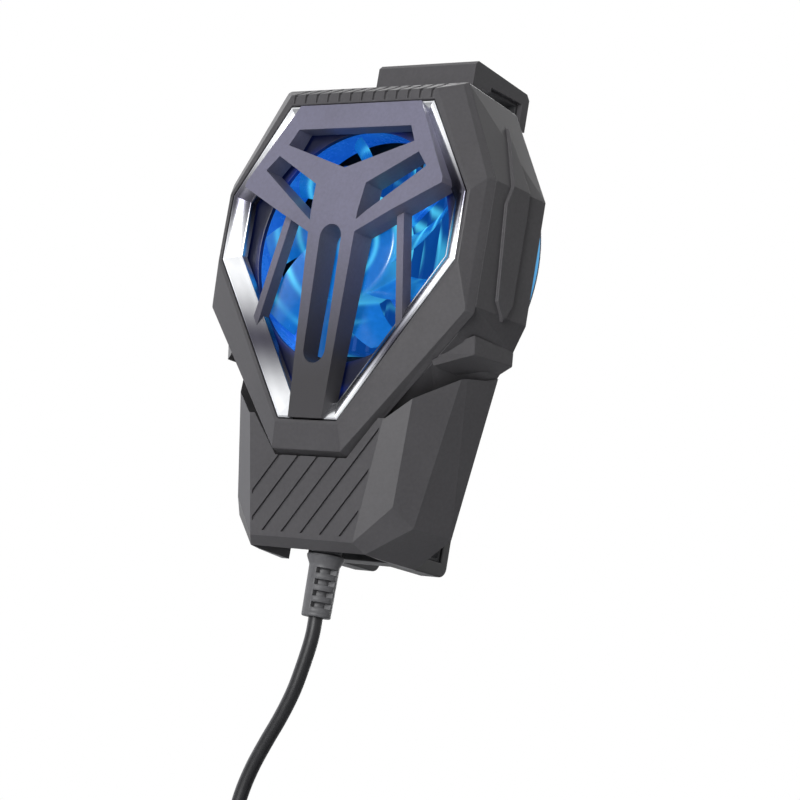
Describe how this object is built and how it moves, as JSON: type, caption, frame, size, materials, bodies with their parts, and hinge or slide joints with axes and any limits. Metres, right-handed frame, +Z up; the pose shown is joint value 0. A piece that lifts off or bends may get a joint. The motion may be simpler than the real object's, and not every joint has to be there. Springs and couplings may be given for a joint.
{
  "type": "phone cooling fan",
  "caption": "Clip-on phone cooler with a faceted shield-shaped shell, a lit fan behind a raised grille, a fixed hook, a sprung forked claw and a wound cable with its plug.",
  "frame": {"origin": "centre of the contact pad's face against the phone, on the fan axis", "axes": "+X to the right seen from the front, +Y out of the contact face towards the phone, +Z up towards the fixed hook"},
  "size_m": [0.052, 0.0304, 0.1863],
  "materials": {
    "grey_shell": "satin gunmetal moulded plastic",
    "chrome_trim": "bright plated plastic",
    "black_plastic": "fine matte moulded plastic",
    "light_guide": "milky light guide",
    "circuit_board": "solder resist",
    "lamp": "clear lamp cap",
    "clear_blue": "translucent moulding",
    "fan_blue": "translucent blue moulding",
    "magnet": "bonded magnet",
    "steel": "zinc-plated",
    "bronze": "sintered bronze",
    "copper": "enamelled winding",
    "aluminium": "machined",
    "ceramic": "white ceramic plates",
    "foam": "closed-cell foam",
    "silicone": "soft grey silicone",
    "soft_rubber": "soft rubber",
    "relief_rubber": "flexible moulding",
    "cable": "smooth jacket",
    "nickel": "nickel-plated",
    "white_plastic": "moulded insert"
  },
  "bodies": {
    "shell": {"front_bezel": "grey_shell", "chrome_trim": "chrome_trim", "grille": "grey_shell", "fan_shroud": "black_plastic", "mid_housing": "grey_shell", "chin_cover": "grey_shell", "chassis": "black_plastic", "back_plate": "black_plastic", "light_ring": "light_guide", "lamp_board": "circuit_board", "lamps": "lamp", "fan_frame": "clear_blue", "fan_bearing": "bronze", "stator_core": "steel", "stator_coils": "copper", "motor_board": "circuit_board", "heat_sink": "aluminium", "thermoelectric_module": "ceramic", "module_gasket": "foam", "cold_plate": "aluminium", "contact_pad": "silicone", "main_board": "circuit_board", "fan_lead": "cable", "power_lead": "cable", "upper_claw": "grey_shell", "upper_claw_pad": "soft_rubber", "slide_bracket": "steel", "claw_spring": "steel", "spring_post": "steel", "housing_screws": "steel", "fan_screws": "steel", "back_screws": "steel", "bracket_screws": "steel", "claw_screws": "steel", "strain_relief": "relief_rubber", "cable": "cable", "cable_coil": "cable", "cable_tail": "cable", "cable_tie": "soft_rubber", "plug_body": "black_plastic", "plug_shell": "nickel", "plug_tongue": "white_plastic"},
    "fan": {"fan_rotor": "fan_blue", "rotor_magnet": "magnet", "fan_shaft": "steel"},
    "claw": {"lower_claw": "black_plastic", "lower_claw_pad": "soft_rubber"}
  },
  "joints": [
    {"name": "fan_spin", "type": "hinge", "parent": "shell", "child": "fan", "pos_m": [0, -0.012, 0], "axis": [0, 1, 0], "continuous": true},
    {"name": "claw_slide", "type": "slide", "parent": "shell", "child": "claw", "axis": [0, 0, -1], "range_m": [0, 0.014], "stiffness_N_per_m": 120, "springref_m": -0.012, "deforming": ["claw_spring"]}
  ]
}
